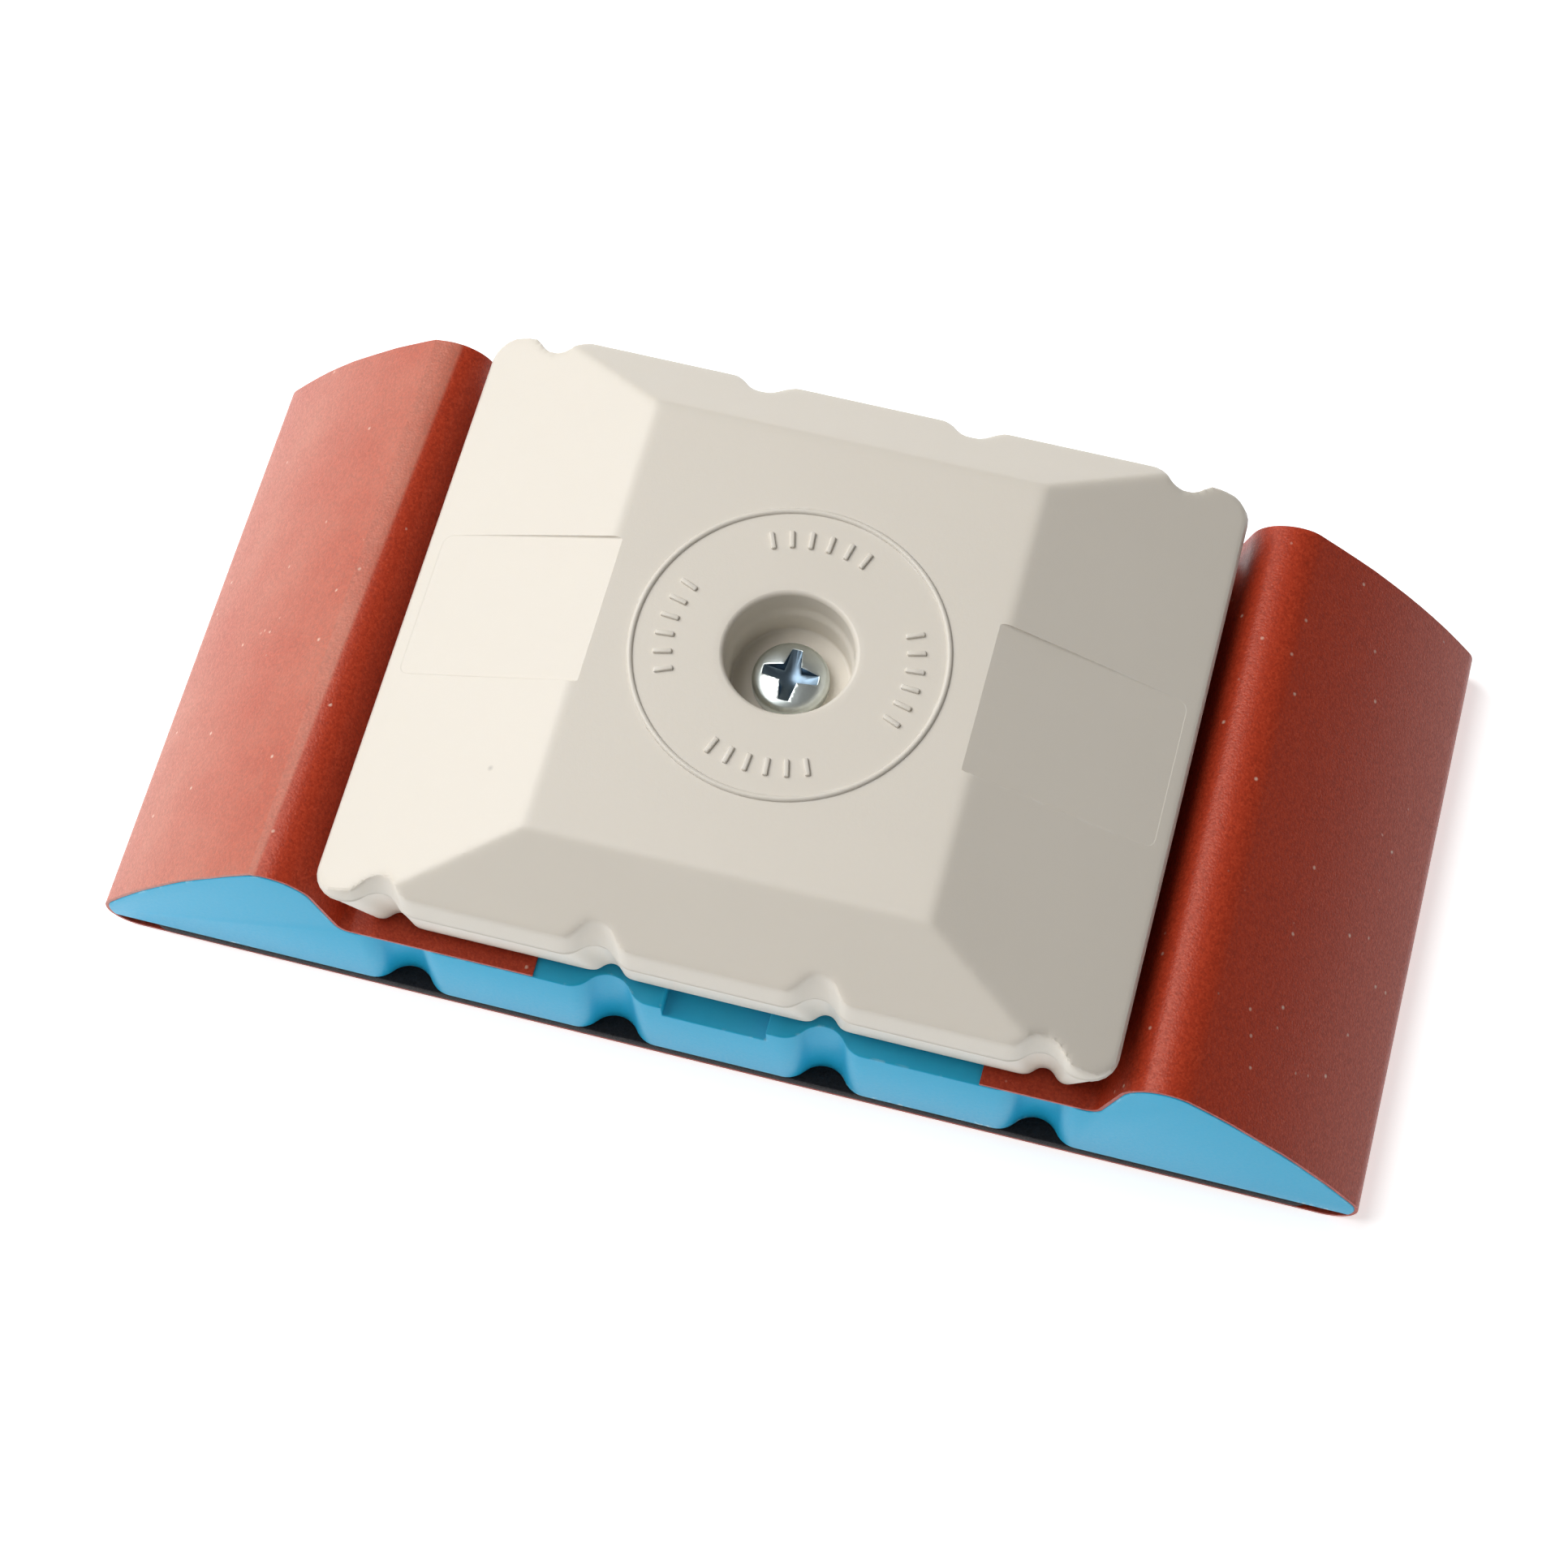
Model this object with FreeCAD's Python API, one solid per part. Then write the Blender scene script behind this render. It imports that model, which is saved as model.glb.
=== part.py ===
import FreeCAD, Part

import math
import os

# Hand sanding block for wrap-round abrasive sheets.
#
# A moulded base with two raised wings carries a thin felt pad under its sole.  The abrasive
# sheet runs under the pad, round both tips and over both wings, and its two ends are clamped
# in the recess between the wings by a moulded cover.  One pan-head screw in a well in the
# cover pulls the cover down on a hexagon nut that is held in the base.
#
# Millimetres.  X is the length, Y the depth, Z up.  The origin is the middle of the sanding
# face, which is the under side of the sheet.

Vector = FreeCAD.Vector

# ---- overall sizes -------------------------------------------------------------------------
LENGTH = 140.0                # over the sheet, tip to tip
BASE_DEPTH = 66.6             # front face to back face of the base
SHEET_THICK = 0.4
PAD_THICK = 1.6
PAD_LENGTH = 132.0
PAD_CORNER = 3.0

# ---- base, as seen from the front ----------------------------------------------------------
SOLE_Z = SHEET_THICK + PAD_THICK          # under side of the base
FLOOR_Z = SOLE_Z + 12.6                   # floor of the recess between the wings
CREST_Z = SOLE_Z + 23.0                   # top of each wing
CREST_X = 47.8
CREST_RADIUS = 4.5
TIP_RADIUS = 3.2
WING_RADIUS = 80.0                        # the outer slope of a wing is slightly domed
FLANK_ANGLE = 73.0                        # inner wall of a wing, degrees from level
FOOT_RADIUS = 2.0                         # where that wall meets the recess floor
SOLE_EDGE_RADIUS = 0.8

# ---- grooves down the front and back faces -------------------------------------------------
GROOVE_PITCH = LENGTH / 6
GROOVE_X = [GROOVE_PITCH * k for k in (-1.5, -0.5, 0.5, 1.5)]
BASE_GROOVE_WIDTH = 9.0
BASE_GROOVE_DEPTH = 2.3
COVER_GROOVE_WIDTH = 7.6
COVER_GROOVE_DEPTH = 1.8

# ---- sheet ---------------------------------------------------------------------------------
SHEET_END_LEFT = -19.8
SHEET_END_RIGHT = 28.7

# ---- cover ---------------------------------------------------------------------------------
COVER_BOTTOM_Z = FLOOR_Z + SHEET_THICK
PARTING_Z = SOLE_Z + 24.7                 # widest level of the cover
SIDE_FOOT_Z = SOLE_Z + 25.3               # foot of the two side slopes
FRONT_FOOT_Z = SOLE_Z + 28.6              # foot of the front and back slopes
TOP_Z = SOLE_Z + 34.6
BOTTOM_HALF = (38.3, 31.2)                # half sizes in X and Y at each level
PARTING_HALF = (42.4, 34.3)
FRONT_FOOT_HALF = 34.0
TOP_HALF = (21.2, 25.4)
COVER_CORNER_RADIUS = 3.0
COVER_WALL = 2.4
POCKET_HALF = 8.65                        # finger pocket on each side slope
POCKET_DEPTH = 0.5
POCKET_RIM = 1.6                          # left standing along the outer edge
POCKET_CUTTER = 10.0                      # reach of its cutter past the top and above the slope
GROOVE_LEAN = 7.0                         # degrees, both ways from the parting level

# ---- raised ring and dashes on top ---------------------------------------------------------
RING_RADIUS = 16.5
RING_WIDTH = 0.7
RING_HEIGHT = 0.3
DASH_RADIUS = 13.1
DASH_LENGTH = 2.0
DASH_WIDTH = 0.55
DASHES_PER_GROUP = 6
DASH_STEP = 9.0                           # degrees between dashes
DASH_GROUPS = 4
MARK_SINK = 0.2                           # depth of the marks' roots in the top

# ---- ribs ----------------------------------------------------------------------------------
RIB_THICK = 1.4
COVER_RIBS_X = (-20.0, 0.0, 20.0)
COVER_RIBS_Y = (0.0,)
BASE_RIBS_X = (-44.0, -22.0, 0.0, 22.0, 44.0)
BASE_RIBS_Y = (0.0,)
BASE_WALL = 2.6
BASE_CORE_HALF_X = 62.0

# ---- screw and nut -------------------------------------------------------------------------
WELL_DEPTH = 7.4
WELL_RADIUS = 6.8
WELL_LIP_RADIUS = 0.6
SEAT_RADIUS = 6.4                         # of the well's lower part, which holds the head
SEAT_DEPTH = 2.8
HEAD_SEAT_Z = TOP_Z - WELL_DEPTH
HEAD_RADIUS = 4.1
HEAD_RIM = 1.1                            # height of the upright rim of the head
HEAD_HEIGHT = 2.6
SHANK_RADIUS = 1.97
SHANK_LENGTH = 25.0
SHANK_TIP_CHAMFER = 0.6
SCREW_HOLE_RADIUS = 2.3
BOSS_RADIUS = WELL_RADIUS + COVER_WALL
COLUMN_RADIUS = 5.2
CROSS_WIDTH = 0.95
CROSS_TIP_RADIUS = 0.95                   # of the driver recess at its bottom
CROSS_RADIUS = 3.6                        # and level with the top of the head
CROSS_DEPTH = 1.9
NUT_FLATS = 7.0
NUT_HEIGHT = 3.2
NUT_TOP_Z = FLOOR_Z - 6.0
NUT_CHAMFER = 0.5
NUT_BORE_RADIUS = 2.03
NUT_FIT = 0.1
NUT_BOSS_RADIUS = 8.0

# ---- tongue and slot that stop the cover turning on the base -------------------------------
SLOT_HALF = 5.7
SLOT_DEPTH = 2.2
SLOT_INNER_Y = 18.5
TONGUE_HALF = 5.2
TONGUE_DROP = 2.2
TONGUE_Y = (20.0, 30.0)

FAR = 200.0                               # longer than anything here
OVERRUN = 1.0                             # how far a cutter passes the face it cuts


def point(x, z, y=0.0):
    return Vector(x, y, z)


def arc(start, middle, end):
    return Part.Arc(start, middle, end).toShape()


def arc_about(centre, radius, start_angle, end_angle):
    """Arc in the XZ plane, angles in degrees from +X towards +Z."""
    ends = []
    for angle in (start_angle, (start_angle + end_angle) / 2, end_angle):
        turn = math.radians(angle)
        ends.append(point(centre.x + radius * math.cos(turn), centre.z + radius * math.sin(turn)))
    return arc(*ends)


def angle_of(v):
    return math.degrees(math.atan2(v.z, v.x))


def box(low, high):
    """Block between two corners."""
    size = [h - l for l, h in zip(low, high)]
    return Part.makeBox(*size, Vector(*low))


def block_through(outline, direction, low, high):
    """Closed outline swept along direction, from low to high."""
    face = Part.Face(Part.Wire(outline))
    face.translate(direction * low)
    return face.extrude(direction * (high - low))


def along_y(outline, half_depth):
    return block_through(outline, Vector(0, 1, 0), -half_depth, half_depth)


def mirrored(shape, normal):
    return shape.mirror(Vector(0, 0, 0), normal)


def wing_centre(tip, crest):
    """Centre of the large arc that touches the tip circle and the crest circle from outside."""
    to_tip = WING_RADIUS - TIP_RADIUS
    to_crest = WING_RADIUS - CREST_RADIUS
    span = crest - tip
    reach = span.Length
    along = (to_tip ** 2 - to_crest ** 2 + reach ** 2) / (2 * reach)
    across = math.sqrt(to_tip ** 2 - along ** 2)
    unit = span / reach
    return tip + unit * along + point(-unit.z, unit.x) * across


def half_outline(grow):
    """Right half of the section of base and pad, grown outward, from sole to recess floor."""
    tip = point(LENGTH / 2 - SHEET_THICK - TIP_RADIUS, SHEET_THICK + TIP_RADIUS)
    crest = point(CREST_X, CREST_Z - CREST_RADIUS)
    wing = wing_centre(tip, crest)
    tip_angle = angle_of(tip - wing)
    crest_angle = angle_of(crest - wing)
    flank = math.radians(FLANK_ANGLE)
    normal = point(-math.sin(flank), math.cos(flank))
    foot_z = FLOOR_Z + FOOT_RADIUS
    reach = CREST_RADIUS + FOOT_RADIUS - (foot_z - crest.z) * normal.z
    foot = point(crest.x + reach / normal.x, foot_z)
    flank_top = crest + normal * (CREST_RADIUS + grow)
    flank_end = foot - normal * (FOOT_RADIUS - grow)
    sole_z = SHEET_THICK - grow
    floor_z = FLOOR_Z + grow
    return [
        Part.makeLine(point(0, sole_z), point(tip.x, sole_z)),
        arc_about(tip, TIP_RADIUS + grow, -90, tip_angle),
        arc_about(wing, WING_RADIUS + grow, tip_angle, crest_angle),
        arc_about(crest, CREST_RADIUS + grow, crest_angle, angle_of(normal)),
        Part.makeLine(flank_top, flank_end),
        arc_about(foot, FOOT_RADIUS - grow, angle_of(normal) - 180, -90),
        Part.makeLine(point(foot.x, floor_z), point(0, floor_z)),
    ]


def core_block(grow, half_depth):
    """Solid of the section of base and pad, grown outward, over the given depth."""
    right = half_outline(grow)
    left = [mirrored(edge, Vector(1, 0, 0)) for edge in right]
    outline = Part.__sortEdges__(right + left)
    return along_y(outline, half_depth)


def groove_cutter(width, depth, face_y, low_z, high_z):
    """Upright bar whose front is an S-curved groove cut inward (+Y) from the plane y = face_y."""
    run = width / 2
    radius = (run ** 2 + depth ** 2) / (4 * depth)
    half_turn = math.atan2(depth, run)

    def at(x, inward):
        return Vector(x, face_y + inward, low_z)

    sag = radius * (1 - math.cos(half_turn))
    slide = radius * math.sin(half_turn)
    outline = [
        Part.makeLine(at(-run, -depth), at(-run, 0)),
        arc(at(-run, 0), at(-run + slide, sag), at(-run / 2, depth / 2)),
        arc(at(-run / 2, depth / 2), at(0, depth), at(run / 2, depth / 2)),
        arc(at(run / 2, depth / 2), at(run - slide, sag), at(run, 0)),
        Part.makeLine(at(run, 0), at(run, -depth)),
        Part.makeLine(at(run, -depth), at(-run, -depth)),
    ]
    return block_through(outline, Vector(0, 0, 1), 0, high_z - low_z)


def hexagon(flats, low_z, high_z):
    reach = flats / math.sqrt(3)
    turns = [math.radians(60 * k) for k in range(7)]
    corners = [Vector(reach * math.cos(turn), reach * math.sin(turn), low_z) for turn in turns]
    return block_through([Part.makePolygon(corners)], Vector(0, 0, 1), 0, high_z - low_z)


def upright_cylinder(radius, low_z, high_z):
    return Part.makeCylinder(radius, high_z - low_z, Vector(0, 0, low_z))


def rib_grid(places_x, places_y):
    """Upright ribs across the inside, both ways."""
    half = RIB_THICK / 2
    ribs = [box((x - half, -FAR, -FAR), (x + half, FAR, FAR)) for x in places_x]
    ribs += [box((-FAR, y - half, -FAR), (FAR, y + half, FAR)) for y in places_y]
    return ribs


def make_base():
    base = core_block(0.0, BASE_DEPTH / 2)
    base = base.cut(box((-FAR, -FAR, -FAR), (FAR, FAR, SOLE_Z)))
    sole_ends = [
        edge for edge in base.Edges
        if abs(edge.CenterOfMass.z - SOLE_Z) < 1e-6 and abs(edge.CenterOfMass.x) > PAD_LENGTH / 2
    ]
    base = base.makeFillet(SOLE_EDGE_RADIUS, sole_ends)

    core_half_y = BASE_DEPTH / 2 - BASE_GROOVE_DEPTH - BASE_WALL
    core = core_block(-BASE_WALL, core_half_y)
    core = core.common(box((-BASE_CORE_HALF_X, -FAR, SOLE_Z), (BASE_CORE_HALF_X, FAR, FAR)))
    open_sole_top = SHEET_THICK + BASE_WALL + TIP_RADIUS
    core = core.fuse(box(
        (-BASE_CORE_HALF_X, -core_half_y, SOLE_Z - OVERRUN),
        (BASE_CORE_HALF_X, core_half_y, open_sole_top),
    ))
    core = core.cut(rib_grid(BASE_RIBS_X, BASE_RIBS_Y))
    core = core.cut(upright_cylinder(NUT_BOSS_RADIUS, -FAR, FAR))
    slot_skin_z = FLOOR_Z - SLOT_DEPTH - BASE_WALL
    slot_skin = SLOT_HALF + BASE_WALL
    for side in (-1, 1):
        y_low, y_high = sorted((side * (SLOT_INNER_Y - BASE_WALL), side * FAR))
        core = core.cut(box((-slot_skin, y_low, slot_skin_z), (slot_skin, y_high, FAR)))
    base = base.cut(core)

    for x in GROOVE_X:
        groove = groove_cutter(
            BASE_GROOVE_WIDTH, BASE_GROOVE_DEPTH, -BASE_DEPTH / 2, SOLE_Z - OVERRUN,
            CREST_Z + OVERRUN,
        )
        groove.translate(Vector(x, 0, 0))
        base = base.cut([groove, mirrored(groove, Vector(0, 1, 0))])
    for side in (-1, 1):
        y_low, y_high = sorted((side * SLOT_INNER_Y, side * FAR))
        base = base.cut(box(
            (-SLOT_HALF, y_low, FLOOR_Z - SLOT_DEPTH), (SLOT_HALF, y_high, FLOOR_Z + OVERRUN)
        ))
    base = base.cut(hexagon(NUT_FLATS + NUT_FIT, SOLE_Z - OVERRUN, NUT_TOP_Z))
    return base.cut(upright_cylinder(SCREW_HOLE_RADIUS, SOLE_Z, FLOOR_Z + OVERRUN))


def make_pad():
    half_x, half_y = PAD_LENGTH / 2, BASE_DEPTH / 2
    pad = box((-half_x, -half_y, SHEET_THICK), (half_x, half_y, SOLE_Z))
    corners = [edge for edge in pad.Edges if abs(edge.tangentAt(edge.FirstParameter).z) > 0.99]
    return pad.makeFillet(PAD_CORNER, corners)


def make_sheet():
    wrap = core_block(SHEET_THICK, BASE_DEPTH / 2)
    wrap = wrap.cut(core_block(0.0, BASE_DEPTH / 2 + OVERRUN))
    gap = box((SHEET_END_LEFT, -FAR, FLOOR_Z - OVERRUN), (SHEET_END_RIGHT, FAR, FLOOR_Z + OVERRUN))
    return wrap.cut(gap)


def cover_block(inset, bottom_z):
    """Outer form of the cover, moved inward by inset, as the overlap of two long bars."""

    def bar(bottom, parting, foot, foot_z, top):
        """Closed section as (distance from the middle, height)."""
        slope = math.atan2(TOP_Z - foot_z, foot - top)
        right = [
            (bottom - inset, bottom_z),
            (parting - inset, PARTING_Z - inset),
            (foot - inset, foot_z - inset * math.tan(math.pi / 4 - slope / 2)),
            (top - inset * math.tan(slope / 2), TOP_Z - inset),
        ]
        left = [(-across, height) for across, height in reversed(right)]
        return right + left + right[:1]

    section_x = bar(BOTTOM_HALF[0], PARTING_HALF[0], PARTING_HALF[0], SIDE_FOOT_Z, TOP_HALF[0])
    section_y = bar(BOTTOM_HALF[1], PARTING_HALF[1], FRONT_FOOT_HALF, FRONT_FOOT_Z, TOP_HALF[1])
    outline_x = Part.makePolygon([Vector(across, 0, z) for across, z in section_x])
    outline_y = Part.makePolygon([Vector(0, across, z) for across, z in section_y])
    bar_x = block_through([outline_x], Vector(0, 1, 0), -FAR, FAR)
    bar_y = block_through([outline_y], Vector(1, 0, 0), -FAR, FAR)
    return bar_x.common(bar_y)


def corner_edges(shape):
    """The edges at the four upright corners of the cover."""
    found = []
    for edge in shape.Edges:
        middle = edge.CenterOfMass
        steep = abs(edge.tangentAt(edge.FirstParameter).z) > 0.8
        if steep and abs(middle.x) > BOTTOM_HALF[0] and abs(middle.y) > BOTTOM_HALF[1]:
            found.append(edge)
    return found


def pocket_cutter():
    """Shallow finger pocket that follows the right-hand side slope."""
    run = PARTING_HALF[0] - TOP_HALF[0]
    fall = TOP_Z - SIDE_FOOT_Z
    length = math.hypot(run, fall)
    slope = math.degrees(math.atan2(fall, run))
    pocket = box(
        (-POCKET_CUTTER, -POCKET_HALF, -POCKET_DEPTH),
        (length - POCKET_RIM, POCKET_HALF, POCKET_CUTTER),
    )
    pocket.rotate(Vector(0, 0, 0), Vector(0, 1, 0), slope)
    pocket.translate(Vector(TOP_HALF[0], 0, TOP_Z))
    return pocket


def cover_grooves():
    """Upper and lower grooves that meet at the parting level and lean inward away from it."""
    taper = math.degrees(
        math.atan2(PARTING_HALF[1] - BOTTOM_HALF[1], PARTING_Z - COVER_BOTTOM_Z)
    )
    cutters = []
    for low_z, high_z, lean in (
        (PARTING_Z, TOP_Z, -GROOVE_LEAN), (COVER_BOTTOM_Z - OVERRUN, PARTING_Z, taper),
    ):
        for x in GROOVE_X:
            groove = groove_cutter(
                COVER_GROOVE_WIDTH, COVER_GROOVE_DEPTH, -PARTING_HALF[1], low_z, high_z
            )
            groove.rotate(Vector(0, -PARTING_HALF[1], PARTING_Z), Vector(1, 0, 0), lean)
            groove.translate(Vector(x, 0, 0))
            cutters += [groove, mirrored(groove, Vector(0, 1, 0))]
    return cutters


def raised_marks():
    """Ring bead and four groups of short radial dashes, sunk a little into the top."""
    root_z, mark_z = TOP_Z - MARK_SINK, TOP_Z + RING_HEIGHT
    ring = upright_cylinder(RING_RADIUS + RING_WIDTH / 2, root_z, mark_z)
    ring = ring.cut(upright_cylinder(RING_RADIUS - RING_WIDTH / 2, -FAR, FAR))
    marks = [ring]
    first = -DASH_STEP * (DASHES_PER_GROUP - 1) / 2
    for group in range(DASH_GROUPS):
        for k in range(DASHES_PER_GROUP):
            dash = box(
                (DASH_RADIUS - DASH_LENGTH / 2, -DASH_WIDTH / 2, root_z),
                (DASH_RADIUS + DASH_LENGTH / 2, DASH_WIDTH / 2, mark_z),
            )
            turn = 360 / DASH_GROUPS * group + first + DASH_STEP * k
            dash.rotate(Vector(0, 0, 0), Vector(0, 0, 1), turn)
            marks.append(dash)
    return marks


def make_cover():
    cover = cover_block(0.0, COVER_BOTTOM_Z)
    cover = cover.makeFillet(COVER_CORNER_RADIUS, corner_edges(cover))
    cover = cover.cut(cover_grooves())
    pocket = pocket_cutter()
    cover = cover.cut([pocket, mirrored(pocket, Vector(1, 0, 0))])

    core = cover_block(COVER_WALL, COVER_BOTTOM_Z - OVERRUN)
    seat_skin_z = HEAD_SEAT_Z - COVER_WALL
    core = core.cut([
        upright_cylinder(BOSS_RADIUS, seat_skin_z, FAR),
        upright_cylinder(COLUMN_RADIUS, -FAR, FAR),
    ])
    core = core.cut(rib_grid(COVER_RIBS_X, COVER_RIBS_Y))
    for x in GROOVE_X:
        behind = upright_cylinder(COVER_GROOVE_WIDTH / 2, -FAR, FAR)
        behind.translate(Vector(x, -PARTING_HALF[1], 0))
        core = core.cut([behind, mirrored(behind, Vector(0, 1, 0))])
    cover = cover.cut(core)

    tongue = box(
        (-TONGUE_HALF, TONGUE_Y[0], COVER_BOTTOM_Z - TONGUE_DROP),
        (TONGUE_HALF, TONGUE_Y[1], COVER_BOTTOM_Z + COVER_WALL),
    )
    cover = cover.fuse([tongue, mirrored(tongue, Vector(0, 1, 0))] + raised_marks())
    cover = cover.cut([
        upright_cylinder(WELL_RADIUS, HEAD_SEAT_Z + SEAT_DEPTH, TOP_Z + OVERRUN),
        upright_cylinder(SEAT_RADIUS, HEAD_SEAT_Z, TOP_Z),
        upright_cylinder(SCREW_HOLE_RADIUS, 0, TOP_Z),
    ])
    lip_length = 2 * math.pi * WELL_RADIUS
    lip = [
        edge for edge in cover.Edges
        if abs(edge.CenterOfMass.z - TOP_Z) < 1e-6 and abs(edge.Length - lip_length) < 1e-3
    ]
    return cover.makeFillet(WELL_LIP_RADIUS, lip).removeSplitter()


def cross_recess():
    """Cross-shaped tapered recess for the driver, with its mouth on the top of the head."""
    top_z = HEAD_SEAT_Z + HEAD_HEIGHT
    low_z = top_z - CROSS_DEPTH
    spread = (CROSS_RADIUS - CROSS_TIP_RADIUS) / CROSS_DEPTH
    taper = Part.makeCone(
        CROSS_TIP_RADIUS, CROSS_RADIUS + spread * OVERRUN, CROSS_DEPTH + OVERRUN,
        Vector(0, 0, low_z),
    )
    arm = box(
        (-CROSS_RADIUS, -CROSS_WIDTH / 2, low_z), (CROSS_RADIUS, CROSS_WIDTH / 2, top_z + OVERRUN)
    )
    turned = arm.copy()
    turned.rotate(Vector(0, 0, 0), Vector(0, 0, 1), 90)
    return taper.common(arm.fuse(turned))


def make_screw():
    tip_z = HEAD_SEAT_Z - SHANK_LENGTH
    rim_z = HEAD_SEAT_Z + HEAD_RIM
    top_z = HEAD_SEAT_Z + HEAD_HEIGHT
    rise = HEAD_HEIGHT - HEAD_RIM
    dome_radius = (HEAD_RADIUS ** 2 + rise ** 2) / (2 * rise)
    dome_edge = math.degrees(math.acos(HEAD_RADIUS / dome_radius))
    profile = [
        point(0, top_z), point(0, tip_z), point(SHANK_RADIUS - SHANK_TIP_CHAMFER, tip_z),
        point(SHANK_RADIUS, tip_z + SHANK_TIP_CHAMFER), point(SHANK_RADIUS, HEAD_SEAT_Z),
        point(HEAD_RADIUS, HEAD_SEAT_Z), point(HEAD_RADIUS, rim_z),
    ]
    outline = [Part.makeLine(start, end) for start, end in zip(profile, profile[1:])]
    outline.append(arc_about(point(0, top_z - dome_radius), dome_radius, dome_edge, 90))
    screw = Part.Face(Part.Wire(outline)).revolve(Vector(0, 0, 0), Vector(0, 0, 1), 360)
    return screw.cut(cross_recess())


def make_nut():
    low_z = NUT_TOP_Z - NUT_HEIGHT
    nut = hexagon(NUT_FLATS, low_z, NUT_TOP_Z)
    barrel = Part.makeCone(
        NUT_FLATS / 2, NUT_FLATS / 2 + NUT_HEIGHT, NUT_HEIGHT, Vector(0, 0, low_z)
    )
    barrel = barrel.fuse(upright_cylinder(NUT_FLATS, low_z + NUT_CHAMFER, NUT_TOP_Z))
    nut = nut.common(barrel)
    return nut.cut(upright_cylinder(NUT_BORE_RADIUS, -FAR, FAR))


def main():
    os.makedirs("parts", exist_ok=True)
    parts = {
        "base": make_base(),
        "sole_pad": make_pad(),
        "abrasive_sheet": make_sheet(),
        "clamp_cover": make_cover(),
        "clamp_screw": make_screw(),
        "captive_nut": make_nut(),
    }
    for name, shape in parts.items():
        solids = shape.Solids
        good = shape.isValid() and len(solids) == 1
        print(f"{name}: valid one solid {good}, {shape.Volume:.0f} mm3, {shape.BoundBox}")
        solids[0].exportStep(f"parts/{name}.step")


main()
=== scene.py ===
import math

import bmesh
import bpy
from bpy.props import FloatProperty, FloatVectorProperty, IntProperty, PointerProperty
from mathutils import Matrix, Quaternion, Vector


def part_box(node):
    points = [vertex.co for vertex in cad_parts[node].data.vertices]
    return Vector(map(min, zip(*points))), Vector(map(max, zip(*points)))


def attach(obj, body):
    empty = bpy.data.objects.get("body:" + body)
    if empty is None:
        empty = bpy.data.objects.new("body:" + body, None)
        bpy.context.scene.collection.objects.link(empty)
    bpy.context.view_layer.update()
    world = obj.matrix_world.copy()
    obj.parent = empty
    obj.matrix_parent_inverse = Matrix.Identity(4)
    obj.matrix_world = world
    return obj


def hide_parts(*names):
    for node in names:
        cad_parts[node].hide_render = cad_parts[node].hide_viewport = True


bl_info = {
    "name": "Sanding block with clamp cover",
    "version": (1, 0, 0),
    "blender": (4, 5, 0),
    "location": "3D View > Sidebar > Sanding Block",
    "description": "Models a screw-clamped sanding block round its packed frame",
    "category": "Add Mesh",
}

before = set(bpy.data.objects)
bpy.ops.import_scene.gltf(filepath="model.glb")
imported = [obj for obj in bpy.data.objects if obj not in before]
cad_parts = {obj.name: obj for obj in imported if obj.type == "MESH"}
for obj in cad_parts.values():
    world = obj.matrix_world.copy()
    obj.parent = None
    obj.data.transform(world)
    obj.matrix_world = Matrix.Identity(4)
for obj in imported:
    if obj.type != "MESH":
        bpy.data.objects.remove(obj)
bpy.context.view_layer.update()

MM = 0.001
TO_CM, TO_DM = 100.0, 10.0  # from metres
BASE_LOW, BASE_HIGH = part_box("base")
PAD_LOW, PAD_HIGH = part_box("sole_pad")
SHEET_LOW, SHEET_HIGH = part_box("abrasive_sheet")
COVER_LOW, COVER_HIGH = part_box("clamp_cover")
SCREW_LOW, SCREW_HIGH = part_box("clamp_screw")
NUT_LOW, NUT_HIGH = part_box("captive_nut")

SHEET_THICK = SHEET_HIGH.z - BASE_HIGH.z
SOLE_Z = BASE_LOW.z
FLOOR_Z = SOLE_Z + 12.6 * MM
CREST_Z = BASE_HIGH.z
GROOVE_PITCH = (SHEET_HIGH.x - SHEET_LOW.x) / 6
GROOVE_PLACES = [GROOVE_PITCH * k for k in (-1.5, -0.5, 0.5, 1.5)]
COVER_FOOT = FLOOR_Z + SHEET_THICK
MARK_HEIGHT = 0.3 * MM
COVER_TOP = COVER_HIGH.z - MARK_HEIGHT
PARTING = SOLE_Z + 24.7 * MM
FLASH_PROUD = 0.04 * MM
PARTING_HALF_X, PARTING_HALF_Y = COVER_HIGH.x - FLASH_PROUD, COVER_HIGH.y - FLASH_PROUD
SIDE_FOOT = SOLE_Z + 25.3 * MM
FRONT_FOOT, FRONT_FOOT_Y = SOLE_Z + 28.6 * MM, PARTING_HALF_Y - 0.3 * MM
TOP_HALF_X, TOP_HALF_Y = 21.2 * MM, 25.4 * MM
WELL_FLOOR = COVER_TOP - 7.4 * MM
SCREW_HOLE_RADIUS = 2.3 * MM
X_AXIS, Y_AXIS, Z_AXIS = Vector((1, 0, 0)), Vector((0, 1, 0)), Vector((0, 0, 1))


# ---- properties ----

def length_property(name, description, millimetres):
    return FloatProperty(
        name=name, description=description, default=millimetres * MM, unit="LENGTH", precision=5
    )


def colour_property(name, description, colour):
    return FloatVectorProperty(
        name=name, description=description, default=colour, subtype="COLOR", size=3, min=0, max=1
    )


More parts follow.
